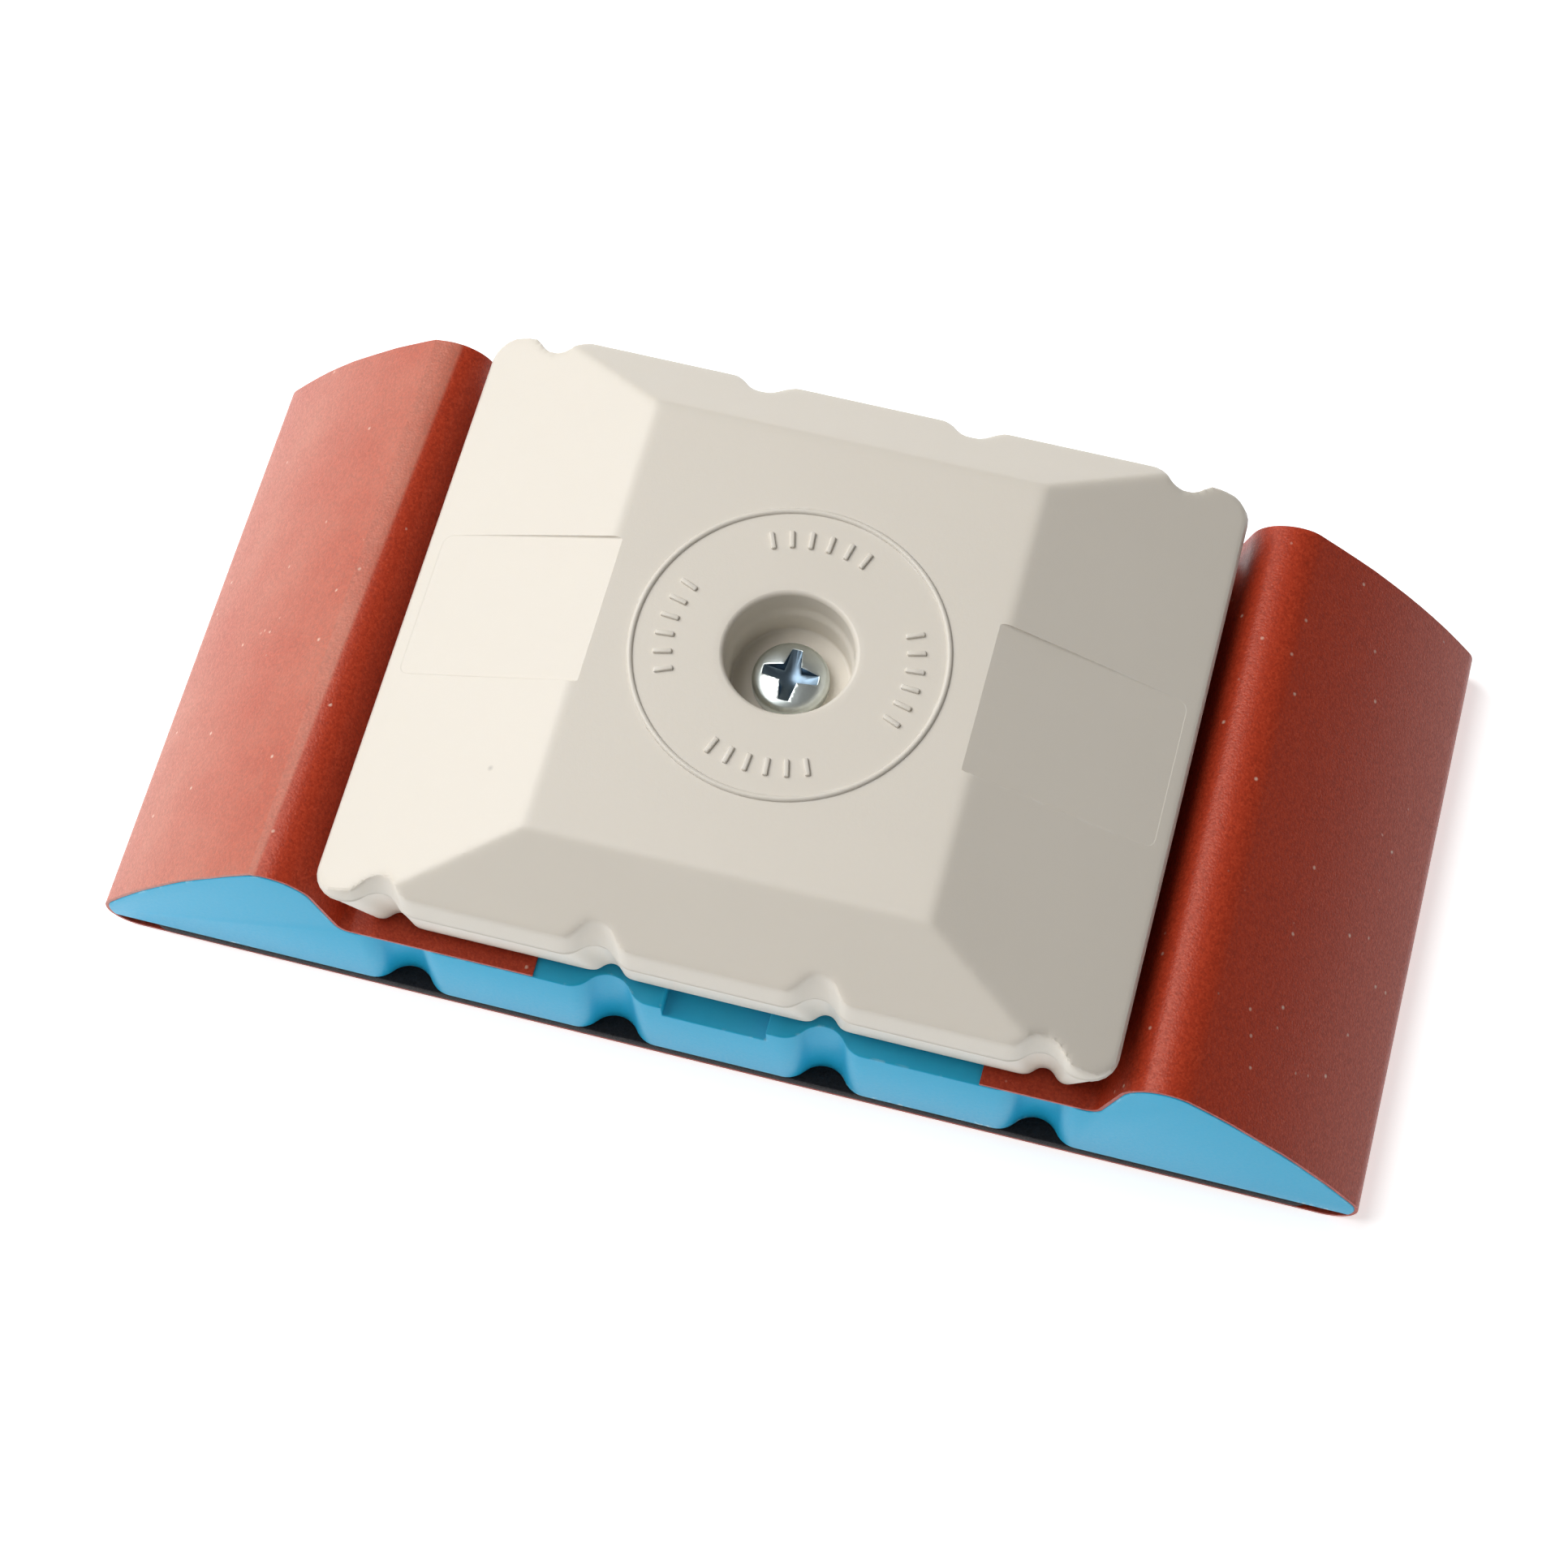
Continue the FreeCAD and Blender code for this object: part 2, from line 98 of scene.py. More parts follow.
class SandingBlockSizes(bpy.types.PropertyGroup):
    tip_radius: length_property("Tip radius", "Rounding of the base's two thin ends", 3.2)
    wing_radius: length_property("Wing radius", "Doming of each wing's outer slope", 80.0)
    crest_radius: length_property("Crest radius", "Rounding along the top of each wing", 4.5)
    crest_place: length_property("Crest place", "Distance of a crest from the middle", 47.8)
    foot_radius: length_property("Foot radius", "Rounding where a wing meets the recess", 2.0)
    base_groove_width: length_property("Base groove width", "Width of a groove in the base", 9.0)
    base_groove_depth: length_property("Base groove depth", "Depth of a groove in the base", 2.3)
    base_edge: length_property("Base edge", "Rounding of the base's moulded edges", 0.35)
    cover_groove_width: length_property("Cover groove width", "Width of a groove", 7.6)
    cover_groove_depth: length_property("Cover groove depth", "Depth of a groove", 1.8)
    cover_corner: length_property("Cover corner", "Radius of the cover's upright corners", 3.0)
    flank_angle: FloatProperty(
        name="Flank angle", description="Lean of each wing's inner wall",
        default=math.radians(73.0), subtype="ANGLE",
    )


class SandingBlockColours(bpy.types.PropertyGroup):
    cover: colour_property("Cover", "Warm light grey moulding", (0.71, 0.66, 0.58))
    base: colour_property("Base", "Light blue moulding", (0.014, 0.42, 0.69))
    grit: colour_property("Grit", "Brick-red abrasive grain", (0.40, 0.036, 0.012))
    paper: colour_property("Paper", "Pale backing of the sheet", (0.86, 0.76, 0.46))
    felt: colour_property("Felt", "Black sole felt", (0.012, 0.011, 0.012))
    plating: colour_property("Plating", "Bright zinc plate", (0.76, 0.83, 0.82))
    # Painted shade: a darker zinc colour for the faces down in the driver recess, standing in for
    # the shade that falls there.
    recess: colour_property("Recess", "Zinc plate down in the driver recess", (0.20, 0.28, 0.36))


class SandingBlockLook(bpy.types.PropertyGroup):
    key_power: FloatProperty(
        name="Key light", description="Strength of the large lamp on the left", default=9.2, min=0
    )
    window_power: FloatProperty(
        name="Window light", description="Strength of the low lamp on the left", default=2.0, min=0
    )
    fill_power: FloatProperty(
        name="Fill light", description="Strength of the lamp in front", default=0.55, min=0
    )
    arc_steps: IntProperty(
        name="Arc steps", description="Segments in each small arc of an outline", default=6, min=2
    )


def sizes():
    return bpy.context.scene.sanding_block_sizes


def colours():
    return bpy.context.scene.sanding_block_colours


def look():
    return bpy.context.scene.sanding_block_look


# ---- modelling helpers ----

def deselect_all():
    if bpy.context.mode != "OBJECT":
        bpy.ops.object.mode_set(mode="OBJECT")
    bpy.ops.object.select_all(action="DESELECT")


def make_active(piece):
    deselect_all()
    piece.select_set(True)
    bpy.context.view_layer.objects.active = piece


def edit(piece, mode="VERT"):
    make_active(piece)
    bpy.ops.object.mode_set(mode="EDIT")
    bpy.ops.mesh.select_mode(type=mode)
    bpy.ops.mesh.select_all(action="SELECT")


def leave_edit():
    bpy.ops.object.mode_set(mode="OBJECT")


def pick(kind, wanted):
    """Selects, in edit mode, the verts, edges or faces for which wanted(element) is true."""
    bpy.ops.mesh.select_all(action="DESELECT")
    mesh = bpy.context.edit_object.data
    shape = bmesh.from_edit_mesh(mesh)
    found = [element for element in getattr(shape, kind) if wanted(element)]
    for element in found:
        element.select_set(True)
    shape.select_flush_mode()
    bmesh.update_edit_mesh(mesh)
    if not found:
        raise RuntimeError(f"no {kind} found on {bpy.context.edit_object.name}")


def weld(threshold=1e-6):
    bpy.ops.mesh.select_all(action="SELECT")
    bpy.ops.mesh.remove_doubles(threshold=threshold)


def turn_about(axis, angle):
    bpy.ops.transform.rotate(value=angle, orient_axis=axis, center_override=(0, 0, 0))


def extrude(offset):
    bpy.ops.mesh.extrude_region_move(TRANSFORM_OT_translate={"value": tuple(offset)})


def outward_normals(piece):
    edit(piece)
    bpy.ops.mesh.remove_doubles(threshold=1e-7)
    bpy.ops.mesh.normals_make_consistent(inside=False)
    leave_edit()


def apply_modifier(piece, kind, **settings):
    make_active(piece)
    modifier = piece.modifiers.new(kind.lower(), kind)
    for name, value in settings.items():
        setattr(modifier, name, value)
    bpy.ops.object.modifier_apply(modifier=modifier.name)


def boolean(piece, cutter, operation="DIFFERENCE"):
    apply_modifier(piece, "BOOLEAN", operation=operation, solver="EXACT", object=cutter)
    bpy.data.objects.remove(cutter, do_unlink=True)


def copied(piece, name, scale=None):
    """A copy with its own mesh, mirrored about the middle where scale has a negative number."""
    twin = piece.copy()
    twin.data = piece.data.copy()
    twin.name = name
    bpy.context.scene.collection.objects.link(twin)
    if scale:
        edit(twin)
        bpy.ops.transform.resize(value=scale, center_override=(0, 0, 0))
        leave_edit()
        outward_normals(twin)
    return twin


def joined(pieces, name):
    deselect_all()
    for piece in pieces:
        piece.select_set(True)
    bpy.context.view_layer.objects.active = pieces[0]
    bpy.ops.object.join()
    pieces[0].name = name
    return pieces[0]


def smooth(piece, degrees=32):
    make_active(piece)
    bpy.ops.object.shade_smooth_by_angle(angle=math.radians(degrees))


def block(name, low, high):
    """Box between two corners, made from the cube primitive."""
    low, high = Vector(low), Vector(high)
    deselect_all()
    bpy.ops.mesh.primitive_cube_add(size=1, location=(0, 0, 0))
    piece = bpy.context.active_object
    piece.name = name
    edit(piece)
    bpy.ops.transform.resize(value=tuple(high - low), center_override=(0, 0, 0))
    bpy.ops.transform.translate(value=tuple((low + high) / 2))
    leave_edit()
    return piece


def tube(name, radius, low_z, high_z, sides=64, top_radius=None):
    """Upright round or many-sided bar about the Z axis."""
    deselect_all()
    bpy.ops.mesh.primitive_cone_add(
        vertices=sides, radius1=radius, radius2=radius if top_radius is None else top_radius,
        depth=high_z - low_z, location=(0, 0, (low_z + high_z) / 2),
    )
    piece = bpy.context.active_object
    piece.name = name
    bpy.ops.object.transform_apply(location=True, rotation=True, scale=True)
    return piece


class Pen:
    """Draws an outline in edit mode: straight runs by extrude, arcs by spin."""

    def __init__(self, name, start, across, up):
        self.across, self.up = Vector(across), Vector(up)
        self.axis = self.across.cross(self.up)
        self.place = Vector(start)
        self.heading = 0.0
        deselect_all()
        bpy.ops.mesh.primitive_plane_add(size=MM, location=self.place)
        self.piece = bpy.context.active_object
        self.piece.name = name
        bpy.ops.object.transform_apply(location=True, rotation=True, scale=True)
        edit(self.piece)
        bpy.ops.mesh.merge(type="CENTER")

    def direction(self, turn=0.0):
        angle = self.heading + turn
        return self.across * math.cos(angle) + self.up * math.sin(angle)

    def go(self, distance):
        step = self.direction() * distance
        extrude(step)
        self.place += step

    def turn(self, radius, degrees, steps):
        angle = math.radians(degrees)
        side = math.copysign(math.pi / 2, angle)
        centre = self.place + self.direction(side) * radius
        bpy.ops.mesh.spin(steps=steps, angle=-angle, center=centre, axis=self.axis)
        self.heading += angle
        self.place = centre - self.direction(side) * radius

    def draw(self, strokes):
        for stroke in strokes:
            if len(stroke) == 1:
                self.go(*stroke)
            else:
                self.turn(*stroke)

    def close(self):
        """Joins the ends and fills the outline with one face."""
        weld()
        bpy.ops.mesh.edge_face_add()

    def raise_solid(self, offset):
        """Makes the filled outline a prism and returns it."""
        self.close()
        extrude(offset)
        leave_edit()
        outward_normals(self.piece)
        return self.piece

    def revolve(self, steps):
        """Turns the outline round the Z axis into a solid and returns it."""
        bpy.ops.mesh.select_all(action="SELECT")
        bpy.ops.mesh.spin(steps=steps, angle=math.tau, center=(0, 0, 0), axis=Z_AXIS)
        weld()
        leave_edit()
        outward_normals(self.piece)
        return self.piece


def finish_piece(piece, body, materials, replaced=()):
    for material in materials:
        piece.data.materials.append(material)
    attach(piece, body)
    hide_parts(*replaced)
    return piece


# ---- outlines ----

def groove_strokes(width, depth, steps):
    """One S-sided groove, drawn along a face from shoulder to shoulder."""
    run = width / 2
    radius = (run ** 2 + depth ** 2) / (4 * depth)
    turn = math.degrees(2 * math.atan2(depth, run))
    return [(radius, turn, steps), (radius, -2 * turn, 2 * steps), (radius, turn, steps)]


def plan_outline(name, half_x, half_y, corner, groove_width, groove_depth, z):
    """Rounded rectangle with four grooves in the front and four in the back."""
    steps = look().arc_steps
    face = []
    place = -half_x + corner
    for groove_x in GROOVE_PLACES:
        face.append((groove_x - groove_width / 2 - place,))
        face += groove_strokes(groove_width, groove_depth, steps)
        place = groove_x + groove_width / 2
    face.append((half_x - corner - place,))
    quarter = [(corner, 90, steps)]
    side = [(2 * (half_y - corner),)]
    pen = Pen(name, (-half_x + corner, -half_y, z), X_AXIS, Y_AXIS)
    pen.draw(face + quarter + side + quarter + face + quarter + side + quarter)
    return pen


def section_turns():
    """Centres and headings of the wing's section: tip, domed slope, crest, flank and foot."""
    size = sizes()
    tip = Vector((SHEET_HIGH.x - SHEET_THICK - size.tip_radius, SHEET_THICK + size.tip_radius))
    crest = Vector((size.crest_place, CREST_Z - size.crest_radius))
    to_tip, to_crest = size.wing_radius - size.tip_radius, size.wing_radius - size.crest_radius
    span = crest - tip
    along = (to_tip ** 2 - to_crest ** 2 + span.length_squared) / (2 * span.length)
    across = math.sqrt(to_tip ** 2 - along ** 2)
    unit = span.normalized()
    dome = tip + unit * along + Vector((-unit.y, unit.x)) * across
    return tip, crest, dome


def wing_strokes(grow):
    """Half of the section, from the middle of the sole to the middle of the recess floor."""
    size = sizes()
    tip, crest, dome = section_turns()
    to_tip, to_crest = tip - dome, crest - dome
    tip_angle = math.degrees(math.atan2(to_tip.y, to_tip.x))
    crest_angle = math.degrees(math.atan2(to_crest.y, to_crest.x))
    lean = size.flank_angle
    normal = Vector((-math.sin(lean), math.cos(lean)))
    foot_z = FLOOR_Z + size.foot_radius
    reach = size.crest_radius + size.foot_radius - (foot_z - crest.y) * normal.y
    foot = Vector((crest.x + reach / normal.x, foot_z))
    flank_top = crest + normal * size.crest_radius
    flank_end = foot - normal * size.foot_radius
    flank_degrees = math.degrees(lean)
    return [
        (tip.x,),
        (size.tip_radius + grow, tip_angle + 90, 16),
        (size.wing_radius + grow, crest_angle - tip_angle, 10),
        (size.crest_radius + grow, 90 + flank_degrees - crest_angle, 22),
        ((flank_top - flank_end).length,),
        (size.foot_radius - grow, -flank_degrees, 10),
        (foot.x,),
    ]


# ---- materials ----

def node_group(name, inputs, outputs):
    """New shader node group with its sockets, and its input and output nodes."""
    group = bpy.data.node_groups.new(name, "ShaderNodeTree")
    for socket, kind, default in inputs:
        made = group.interface.new_socket(socket, in_out="INPUT", socket_type=kind)
        if default is not None:
            made.default_value = default
    for socket, kind in outputs:
        group.interface.new_socket(socket, in_out="OUTPUT", socket_type=kind)
    return group, group.nodes.new("NodeGroupInput"), group.nodes.new("NodeGroupOutput")


def wire(tree, *links):
    for source, target in links:
        tree.links.new(source, target)


def texture(tree, kind, vector, **values):
    """A noise or Voronoi node on the given coordinates."""
    node = tree.nodes.new(kind)
    for name, value in values.items():
        if name in node.inputs:
            node.inputs[name].default_value = value
        else:
            setattr(node, name, value)
    tree.links.new(vector, node.inputs["Vector"])
    return node


def ramp(tree, factor, *stops):
    """Value ramp; each stop is a place and a grey level or colour."""
    node = tree.nodes.new("ShaderNodeValToRGB")
    elements = node.color_ramp.elements
    while len(elements) < len(stops):
        elements.new(0.5)
    for element, (place, level) in zip(elements, stops):
        element.position = place
        element.color = (*level, 1) if isinstance(level, tuple) else (level, level, level, 1)
    tree.links.new(factor, node.inputs["Fac"])
    return node.outputs["Color"]


def feed(tree, socket, value):
    """Sets a socket to a number or a colour, or links another socket to it."""
    if isinstance(value, (int, float)):
        socket.default_value = value
    elif isinstance(value, tuple):
        socket.default_value = (*value, 1)
    else:
        tree.links.new(value, socket)


def arithmetic(tree, operation, *values, clamp=False):
    node = tree.nodes.new("ShaderNodeMath")
    node.operation = operation
    node.use_clamp = clamp
    for socket, value in zip(node.inputs, values):
        feed(tree, socket, value)
    return node.outputs[0]


def times(tree, *values):
    return arithmetic(tree, "MULTIPLY", *values)


def axes_of(tree, place):
    """The X, Y and Z sockets of a position."""
    split = tree.nodes.new("ShaderNodeSeparateXYZ")
    tree.links.new(place, split.inputs[0])
    return split.outputs


def mix(tree, factor, first, second):
    node = tree.nodes.new("ShaderNodeMix")
    node.data_type = "RGBA"
    sockets = (node.inputs[0], node.inputs[6], node.inputs[7])
    for socket, value in zip(sockets, (factor, first, second)):
        feed(tree, socket, value)
    return node.outputs[2]


def moulded_skin_group():
    """Fine satin of a moulded surface: colour mottle, roughness and height."""
    group, ins, outs = node_group(
        "Moulded skin",
        [("Vector", "NodeSocketVector", None), ("Colour", "NodeSocketColor", None),
         ("Mottle", "NodeSocketFloat", 0.05), ("Roughness", "NodeSocketFloat", 0.45)],
        [("Colour", "NodeSocketColor"), ("Roughness", "NodeSocketFloat"),
         ("Height", "NodeSocketFloat")],
    )
    vector = ins.outputs["Vector"]
    cloud = texture(group, "ShaderNodeTexNoise", vector, Scale=55.0, Detail=5.0, Roughness=0.6)
    fine = texture(group, "ShaderNodeTexNoise", vector, Scale=2400.0, Detail=3.0, Roughness=0.7)
    drift = arithmetic(group, "SUBTRACT", cloud.outputs["Fac"], 0.5)
    drift = times(group, drift, ins.outputs["Mottle"])
    level = arithmetic(group, "ADD", drift, 1.0)
    shade = group.nodes.new("ShaderNodeVectorMath")
    shade.operation = "SCALE"
    wire(group, (ins.outputs["Colour"], shade.inputs[0]), (level, shade.inputs["Scale"]))
    rough = times(group, arithmetic(group, "SUBTRACT", fine.outputs["Fac"], 0.5), 0.25)
    rough = arithmetic(group, "ADD", rough, times(group, drift, 1.5))
    rough = arithmetic(group, "ADD", rough, ins.outputs["Roughness"], clamp=True)
    wire(group, (shade.outputs[0], outs.inputs["Colour"]), (rough, outs.inputs["Roughness"]),
         (fine.outputs["Fac"], outs.inputs["Height"]))
    return group


def specks_group():
    """Sparse small specks, as of dust or stray grit: a mask from 0 to 1."""
    group, ins, outs = node_group(
        "Specks",
        [("Vector", "NodeSocketVector", None), ("Scale", "NodeSocketFloat", 300.0),
         ("Size", "NodeSocketFloat", 0.12), ("Share", "NodeSocketFloat", 0.1)],
        [("Mask", "NodeSocketFloat")],
    )
    cells = group.nodes.new("ShaderNodeTexVoronoi")
    wire(group, (ins.outputs["Vector"], cells.inputs["Vector"]),
         (ins.outputs["Scale"], cells.inputs["Scale"]))
    split = group.nodes.new("ShaderNodeSeparateColor")
    group.links.new(cells.outputs["Color"], split.inputs[0])
    chosen = arithmetic(group, "LESS_THAN", split.outputs[0], ins.outputs["Share"])
    near = arithmetic(group, "DIVIDE", cells.outputs["Distance"], ins.outputs["Size"])
    near = arithmetic(group, "SUBTRACT", 1.0, near, clamp=True)
    group.links.new(times(group, chosen, near), outs.inputs["Mask"])
    return group


def edge_wear_group():
    """Pale rubbing along sharp edges: a mask from 0 to 1."""
    group, ins, outs = node_group(
        "Edge wear",
        [("Vector", "NodeSocketVector", None), ("Amount", "NodeSocketFloat", 0.5)],
        [("Mask", "NodeSocketFloat")],
    )
    rounded = group.nodes.new("ShaderNodeBevel")
    rounded.samples = 4
    rounded.inputs["Radius"].default_value = 0.4 * MM
    geometry = group.nodes.new("ShaderNodeNewGeometry")
    turned = group.nodes.new("ShaderNodeVectorMath")
    turned.operation = "DOT_PRODUCT"
    wire(group, (rounded.outputs[0], turned.inputs[0]),
         (geometry.outputs["Normal"], turned.inputs[1]))
    edge = ramp(group, turned.outputs["Value"], (0.90, 1.0), (0.99, 0.0))
    broken = texture(group, "ShaderNodeTexNoise", ins.outputs["Vector"], Scale=420.0, Detail=4.0)
    patches = ramp(group, broken.outputs["Fac"], (0.54, 0.0), (0.64, 1.0))
    worn = times(group, edge, patches)
    worn = arithmetic(group, "MULTIPLY", worn, ins.outputs["Amount"], clamp=True)
    group.links.new(worn, outs.inputs["Mask"])
    return group


def grit_group():
    """Abrasive grain stuck to paper: brightness of the grains and their height."""
    group, ins, outs = node_group(
        "Grit",
        [("Vector", "NodeSocketVector", None), ("Scale", "NodeSocketFloat", 4200.0)],
        [("Tone", "NodeSocketFloat"), ("Height", "NodeSocketFloat")],
    )
    vector = ins.outputs["Vector"]
    grains = group.nodes.new("ShaderNodeTexVoronoi")
    wire(group, (vector, grains.inputs["Vector"]), (ins.outputs["Scale"], grains.inputs["Scale"]))
    split = group.nodes.new("ShaderNodeSeparateColor")
    group.links.new(grains.outputs["Color"], split.inputs[0])
    dome = arithmetic(group, "SUBTRACT", 1.0, grains.outputs["Distance"], clamp=True)
    height = times(group, dome, arithmetic(group, "ADD", split.outputs[0], 0.4))
    clumps = texture(group, "ShaderNodeTexNoise", vector, Scale=2600.0, Detail=4.0, Roughness=0.7)
    tone = arithmetic(group, "ADD", times(group, split.outputs[1], 0.4),
                      times(group, clumps.outputs["Fac"], 0.85))
    wire(group, (tone, outs.inputs["Tone"]), (height, outs.inputs["Height"]))
    return group


GROUPS = {}


def shared_group(name):
    """The shader node group of that name, built on first use."""
    makers = {
        "Moulded skin": moulded_skin_group, "Specks": specks_group,
        "Edge wear": edge_wear_group, "Grit": grit_group,
    }
    if name not in GROUPS:
        GROUPS[name] = makers[name]()
    return GROUPS[name]


def place_group(tree, group, **values):
    node = tree.nodes.new("ShaderNodeGroup")
    node.node_tree = shared_group(group)
    for name, value in values.items():
        feed(tree, node.inputs[name], value)
    return node


def new_material(name, **plain):
    """Material with a Principled shader, whose plain values are set on its own sockets."""
    material = bpy.data.materials.new(name)
    material.use_nodes = True
    tree = material.node_tree
    shader = tree.nodes["Principled BSDF"]
    for socket, value in plain.items():
        shader.inputs[socket.replace("_", " ")].default_value = value
    coordinates = tree.nodes.new("ShaderNodeTexCoord")
    return material, tree, shader, coordinates.outputs["Object"]


def paint(tree, shader, colour, rough):
    wire(tree, (colour, shader.inputs["Base Color"]), (rough, shader.inputs["Roughness"]))


def add_bump(tree, shader, height, distance, strength=1.0):
    bump = tree.nodes.new("ShaderNodeBump")
    bump.inputs["Distance"].default_value = distance
    bump.inputs["Strength"].default_value = strength
    wire(tree, (height, bump.inputs["Height"]), (bump.outputs[0], shader.inputs["Normal"]))


def cover_plastic():
    material, tree, shader, place = new_material(
        "Cover_plastic", Specular_IOR_Level=0.45, Subsurface_Weight=0.08,
        Subsurface_Radius=(1.0, 0.8, 0.55), Subsurface_Scale=0.0012,
    )
    skin = place_group(tree, "Moulded skin", Vector=place, Colour=tuple(colours().cover),
                       Mottle=0.05, Roughness=0.42)
    specks = place_group(tree, "Specks", Vector=place, Scale=110.0, Size=0.045, Share=0.10)
    colour = mix(tree, times(tree, specks.outputs[0], 0.55), skin.outputs["Colour"],
                 (0.33, 0.30, 0.27))
    wear = place_group(tree, "Edge wear", Vector=place, Amount=0.35)
    colour = mix(tree, wear.outputs[0], colour, (0.82, 0.80, 0.76))
    paint(tree, shader, colour, skin.outputs["Roughness"])
    add_bump(tree, shader, skin.outputs["Height"], 0.000012)
    return material


def base_plastic():
    material, tree, shader, place = new_material(
        "Base_plastic", Specular_IOR_Level=0.26, Subsurface_Weight=0.10,
        Subsurface_Radius=(0.3, 0.7, 1.0), Subsurface_Scale=0.0012,
    )
    skin = place_group(tree, "Moulded skin", Vector=place, Colour=tuple(colours().base),
                       Mottle=0.05, Roughness=0.38)
    wear = place_group(tree, "Edge wear", Vector=place, Amount=0.9)
    colour = mix(tree, wear.outputs[0], skin.outputs["Colour"], (0.50, 0.78, 0.90))
    rise = times(tree, axes_of(tree, place)["Z"], TO_CM)
    sole_edge = ramp(tree, rise, (0.22, 1.0), (0.30, 0.0))
    patch = texture(tree, "ShaderNodeTexNoise", place, Scale=75.0, Detail=2.0)
    patch = ramp(tree, patch.outputs["Fac"], (0.58, 0.0), (0.64, 1.0))
    scratch = texture(tree, "ShaderNodeTexNoise", place, Scale=1900.0, Detail=4.0, Roughness=0.7)
    scratch = ramp(tree, scratch.outputs["Fac"], (0.56, 0.0), (0.62, 0.8))
    nicks = times(tree, times(tree, sole_edge, patch), scratch)
    colour = mix(tree, nicks, colour, (0.72, 0.88, 0.94))
    paint(tree, shader, colour, skin.outputs["Roughness"])
    add_bump(tree, shader, skin.outputs["Height"], 0.000012)
    return material


def painted_sheen_on_left_wing(tree, place):
    """Painted sheen over the lit left wing: a paler tone standing in for the light it catches, as
    far as the crease of the paper and above the sole.
    """
    slant, offset, crease, soft = 0.364, 0.0121, 0.488, 0.004
    axes = axes_of(tree, place)
    skew = arithmetic(tree, "MULTIPLY_ADD", axes["Y"], slant, offset)
    left = arithmetic(tree, "MULTIPLY_ADD", axes["X"], -TO_DM, skew)
    left = ramp(tree, left, (crease, 0.0), (crease + soft, 1.0))
    rise = times(tree, axes["Z"], TO_CM)
    wing = times(tree, left, ramp(tree, rise, (0.1, 0.0), (0.5, 1.0)))
    haze = texture(tree, "ShaderNodeTexNoise", place, Scale=70.0, Detail=5.0, Roughness=0.65)
    return times(tree, ramp(tree, haze.outputs["Fac"], (0.3, 0.13), (0.7, 0.24)), wing)


def grit_coat():
    material, tree, shader, place = new_material(
        "Grit_coat", Specular_IOR_Level=0.33, Specular_Tint=(1.0, 0.80, 0.70, 1.0),
    )
    grit = place_group(tree, "Grit", Vector=place, Scale=4200.0)
    red = tuple(colours().grit)
    dark = tuple(0.72 * c for c in red)
    light = (red[0] * 1.25, red[1] * 1.6, red[2] * 1.8)
    colour = ramp(tree, grit.outputs["Tone"], (0.25, dark), (0.6, red), (0.95, light))
    specks = place_group(tree, "Specks", Vector=place, Scale=1500.0, Size=0.42, Share=0.007)
    colour = mix(tree, times(tree, specks.outputs[0], 0.8), colour, (0.85, 0.68, 0.55))
    # Painted sheen: the left wing, which faces the lamps, is made paler up to the crease, standing
    # in for the light it catches.
    colour = mix(tree, painted_sheen_on_left_wing(tree, place), colour, (0.80, 0.57, 0.43))
    rough = ramp(tree, grit.outputs["Tone"], (0.3, 0.42), (0.9, 0.30))
    paint(tree, shader, colour, rough)
    add_bump(tree, shader, grit.outputs["Height"], 0.00005, 0.4)
    return material


def paper_backing():
    material, tree, shader, place = new_material("Paper_backing", Specular_IOR_Level=0.3)
    fibre = texture(tree, "ShaderNodeTexNoise", place, Scale=1500.0, Detail=6.0, Roughness=0.7)
    pale = tuple(colours().paper)
    colour = ramp(tree, fibre.outputs["Fac"], (0.3, tuple(0.7 * c for c in pale)), (0.7, pale))
    rough = ramp(tree, fibre.outputs["Fac"], (0.2, 0.95), (0.8, 0.75))
    paint(tree, shader, colour, rough)
    add_bump(tree, shader, fibre.outputs["Fac"], 0.00003)
    return material


def sole_felt():
    material, tree, shader, place = new_material(
        "Sole_felt", Specular_IOR_Level=0.2, Sheen_Weight=0.5, Sheen_Roughness=0.4,
        Sheen_Tint=(0.45, 0.42, 0.42, 1.0),
    )
    fibres = texture(tree, "ShaderNodeTexNoise", place, Scale=2600.0, Detail=6.0, Roughness=0.8,
                     Distortion=1.2)
    black = tuple(colours().felt)
    colour = ramp(tree, fibres.outputs["Fac"], (0.35, tuple(0.6 * c for c in black)),
                  (0.75, tuple(3.0 * c for c in black)))
    rough = ramp(tree, fibres.outputs["Fac"], (0.2, 1.0), (0.8, 0.8))
    paint(tree, shader, colour, rough)
    add_bump(tree, shader, fibres.outputs["Fac"], 0.00015)
    return material


def zinc_plate(name="Zinc_plate", tone=None):
    material, tree, shader, place = new_material(name, Specular_IOR_Level=0.5)
    cloud = texture(tree, "ShaderNodeTexNoise", place, Scale=500.0, Detail=5.0, Roughness=0.6)
    bright = tuple(tone or colours().plating)
    colour = ramp(tree, cloud.outputs["Fac"], (0.3, tuple(0.8 * c for c in bright)), (0.65, bright))
    rough = ramp(tree, cloud.outputs["Fac"], (0.3, 0.38), (0.7, 0.27))
    metal = ramp(tree, cloud.outputs["Fac"], (0.1, 0.95), (0.4, 1.0))
    paint(tree, shader, colour, rough)
    tree.links.new(metal, shader.inputs["Metallic"])
    add_bump(tree, shader, cloud.outputs["Fac"], 0.00002)
    return material


def studio_floor():
    material, tree, shader, place = new_material("Studio_floor", Specular_IOR_Level=0.2)
    cloud = texture(tree, "ShaderNodeTexNoise", place, Scale=6.0, Detail=3.0)
    colour = ramp(tree, cloud.outputs["Fac"], (0.3, 0.93), (0.7, 0.96))
    wire(tree, (colour, shader.inputs["Base Color"]), (colour, shader.inputs["Emission Color"]))
    glow, roughness = 0.62, 0.8
    shader.inputs["Emission Strength"].default_value = glow
    shader.inputs["Roughness"].default_value = roughness
    return material


# ---- pieces ----

